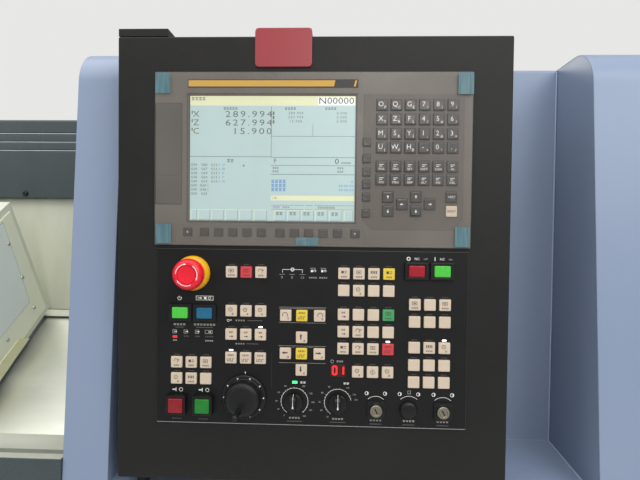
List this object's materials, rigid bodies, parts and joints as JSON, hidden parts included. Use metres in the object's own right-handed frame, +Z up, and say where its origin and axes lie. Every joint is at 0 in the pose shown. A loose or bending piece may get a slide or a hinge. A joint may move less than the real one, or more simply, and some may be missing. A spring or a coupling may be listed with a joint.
{
  "type": "cnc turning lathe",
  "caption": "CNC turning lathe: lilac-blue enclosure with sliding door, slanted bed with chuck and turret, and a swivelling black operator panel with display, keys and handwheel.",
  "frame": {"origin": "on the floor, under the centre of the machine's bounding box", "axes": "+X to the operator's right along the spindle, +Y to the rear, +Z up"},
  "size_m": [3.3, 1.6, 1.6506],
  "materials": {
    "lilac_enamel": "satin",
    "panel_black": "fine texture",
    "rail_black": "satin",
    "cream_enamel": "satin",
    "casting_grey": "painted",
    "drawer_grey": "satin",
    "ground_steel": "ground",
    "sheet_steel": "rolled",
    "window_glass": "clear",
    "moulded_black": "moulded",
    "display": "lit",
    "red_plastic": "moulded",
    "switch_red": "moulded",
    "yellow_plastic": "moulded",
    "green_lens": "lens",
    "blue_lens": "lens",
    "dark_red_lens": "lens",
    "lamp_cover": "diffuse"
  },
  "bodies": {
    "machine": {"machine_base": "casting_grey", "slant_bed": "casting_grey", "z_rail_lower": "ground_steel", "z_rail_upper": "ground_steel", "left_cover": "lilac_enamel", "right_cover": "lilac_enamel", "front_skirt": "lilac_enamel", "door_sill": "rail_black", "top_rail_beam": "rail_black", "rear_housing": "lilac_enamel", "panel_bay": "lilac_enamel", "work_area_liner": "cream_enamel", "work_lamp": "lamp_cover", "headstock": "casting_grey", "way_cover_fixed": "sheet_steel", "electrical_cabinet": "lilac_enamel", "panel_pivot_plate": "panel_black"},
    "door": {"sliding_door": "lilac_enamel", "door_window": "window_glass", "door_handle": "panel_black"},
    "drawer": {"chip_drawer": "drawer_grey"},
    "cabinet_door_body": {"cabinet_door": "lilac_enamel"},
    "cabinet_lever": {"cabinet_handle": "panel_black"},
    "main_switch_knob": {"main_switch": "switch_red"},
    "spindle": {"spindle_shaft": "ground_steel", "chuck_body": "ground_steel"},
    "jaw_1": {"chuck_jaw_1": "ground_steel"},
    "jaw_2": {"chuck_jaw_2": "ground_steel"},
    "jaw_3": {"chuck_jaw_3": "ground_steel"},
    "carriage": {"saddle": "casting_grey", "way_cover_near": "sheet_steel", "way_cover_left": "sheet_steel"},
    "middle_sheet": {"way_cover_middle": "sheet_steel"},
    "cross": {"cross_slide": "cream_enamel", "carriage_side_plate": "cream_enamel"},
    "turret": {"turret_disc": "ground_steel"},
    "panel": {"panel_box": "panel_black", "red_top_clip": "red_plastic", "cnc_unit": "moulded_black", "lcd_screen": "display", "key_plate": "moulded_black", "estop_collar": "yellow_plastic", "round_plug": "moulded_black"},
    "stop_stem": {"estop_stem": "moulded_black"},
    "stop_head": {"estop_head": "switch_red"},
    "wheel": {"handwheel": "moulded_black"},
    "grip": {"handwheel_grip": "moulded_black"},
    "feed_knob": {"feed_override_knob": "moulded_black"},
    "speed_knob": {"spindle_override_knob": "moulded_black"},
    "lock_left": {"key_lock_left": "ground_steel"},
    "lock_right": {"key_lock_right": "ground_steel"},
    "power_on_button_body": {"power_on_button": "green_lens"},
    "door_unlock_button_body": {"door_unlock_button": "blue_lens"},
    "nc_off_button_body": {"nc_off_button": "dark_red_lens"},
    "nc_on_button_body": {"nc_on_button": "green_lens"},
    "feed_hold_button_body": {"feed_hold_button": "dark_red_lens"},
    "cycle_start_button_body": {"cycle_start_button": "green_lens"}
  },
  "joints": [
    {"name": "door_slide", "type": "slide", "parent": "machine", "child": "door", "axis": [1, 0, 0], "range_m": [0, 1.08]},
    {"name": "drawer_slide", "type": "slide", "parent": "machine", "child": "drawer", "axis": [0, -1, 0], "range_m": [0, 0.35]},
    {"name": "cabinet_hinge", "type": "hinge", "parent": "machine", "child": "cabinet_door_body", "pos_m": [1.25, 0.78, 1], "axis": [0, 0, -1], "range_deg": [0, 110]},
    {"name": "cabinet_lever_turn", "type": "hinge", "parent": "cabinet_door_body", "child": "cabinet_lever", "pos_m": [0.32, 0.78, 1], "axis": [0, -1, 0], "range_deg": [0, 90]},
    {"name": "main_switch_turn", "type": "hinge", "parent": "cabinet_door_body", "child": "main_switch_knob", "pos_m": [0.55, 0.78, 1.4], "axis": [0, 1, 0], "range_deg": [0, 90]},
    {"name": "spindle_spin", "type": "hinge", "parent": "machine", "child": "spindle", "pos_m": [-0.4647, -0.57343, 1.14301], "axis": [1, 0, 0], "continuous": true},
    {"name": "jaw_1_slide", "type": "slide", "parent": "spindle", "child": "jaw_1", "axis": [0, 0, 1], "range_m": [-0.004, 0.004]},
    {"name": "jaw_2_slide", "type": "slide", "parent": "spindle", "child": "jaw_2", "axis": [0, -0.866, -0.5], "range_m": [-0.004, 0.004]},
    {"name": "jaw_3_slide", "type": "slide", "parent": "spindle", "child": "jaw_3", "axis": [0, 0.866, -0.5], "range_m": [-0.004, 0.004]},
    {"name": "z_slide", "type": "slide", "parent": "machine", "child": "carriage", "axis": [-1, 0, 0], "range_m": [0, 0.275]},
    {"name": "middle_sheet_slide", "type": "slide", "parent": "machine", "child": "middle_sheet", "axis": [-1, 0, 0], "range_m": [0, 0.1375]},
    {"name": "x_slide", "type": "slide", "parent": "carriage", "child": "cross", "axis": [0, -0.8192, -0.5735], "range_m": [0, 0.11]},
    {"name": "turret_index", "type": "hinge", "parent": "cross", "child": "turret", "pos_m": [-0.07, -0.37681, 1.28064], "axis": [1, 0, 0], "continuous": true},
    {"name": "panel_swing", "type": "hinge", "parent": "machine", "child": "panel", "pos_m": [0.705, -0.73, 1.355], "axis": [0, 0, -1], "range_deg": [0, 60]},
    {"name": "estop_press", "type": "slide", "parent": "panel", "child": "stop_stem", "axis": [0, 1, 0], "range_m": [0, 0.0035], "stiffness_N_per_m": 800},
    {"name": "estop_twist", "type": "hinge", "parent": "stop_stem", "child": "stop_head", "pos_m": [0.7792, -0.755, 1.3389], "axis": [0, 1, 0], "range_deg": [0, 30], "stiffness_Nm_per_rad": 0.1},
    {"name": "power_on_press", "type": "slide", "parent": "panel", "child": "power_on_button_body", "axis": [0, 1, 0], "range_m": [0, 0.003], "stiffness_N_per_m": 400},
    {"name": "door_unlock_press", "type": "slide", "parent": "panel", "child": "door_unlock_button_body", "axis": [0, 1, 0], "range_m": [0, 0.003], "stiffness_N_per_m": 400},
    {"name": "nc_off_press", "type": "slide", "parent": "panel", "child": "nc_off_button_body", "axis": [0, 1, 0], "range_m": [0, 0.003], "stiffness_N_per_m": 400},
    {"name": "nc_on_press", "type": "slide", "parent": "panel", "child": "nc_on_button_body", "axis": [0, 1, 0], "range_m": [0, 0.003], "stiffness_N_per_m": 400},
    {"name": "feed_hold_press", "type": "slide", "parent": "panel", "child": "feed_hold_button_body", "axis": [0, 1, 0], "range_m": [0, 0.003], "stiffness_N_per_m": 400},
    {"name": "cycle_start_press", "type": "slide", "parent": "panel", "child": "cycle_start_button_body", "axis": [0, 1, 0], "range_m": [0, 0.003], "stiffness_N_per_m": 400},
    {"name": "handwheel_spin", "type": "hinge", "parent": "panel", "child": "wheel", "pos_m": [0.8464, -0.755, 1.181], "axis": [0, 1, 0], "continuous": true},
    {"name": "grip_spin", "type": "hinge", "parent": "wheel", "child": "grip", "pos_m": [0.84248, -0.755, 1.16777], "axis": [0, 1, 0], "continuous": true},
    {"name": "feed_override_turn", "type": "hinge", "parent": "panel", "child": "feed_knob", "pos_m": [0.9101, -0.755, 1.1757], "axis": [0, 1, 0], "range_deg": [-135, 135]},
    {"name": "spindle_override_turn", "type": "hinge", "parent": "panel", "child": "speed_knob", "pos_m": [0.9664, -0.755, 1.1758], "axis": [0, 1, 0], "range_deg": [-140, 80]},
    {"name": "key_lock_left_turn", "type": "hinge", "parent": "panel", "child": "lock_left", "pos_m": [1.0148, -0.755, 1.1678], "axis": [0, 1, 0], "range_deg": [0, 60]},
    {"name": "key_lock_right_turn", "type": "hinge", "parent": "panel", "child": "lock_right", "pos_m": [1.099, -0.755, 1.1678], "axis": [0, 1, 0], "range_deg": [0, 60]}
  ],
  "couplings": [
    {"joint": "jaw_2_slide", "follows": "jaw_1_slide", "ratio": 1},
    {"joint": "jaw_3_slide", "follows": "jaw_1_slide", "ratio": 1},
    {"joint": "middle_sheet_slide", "follows": "z_slide", "ratio": 0.5}
  ]
}
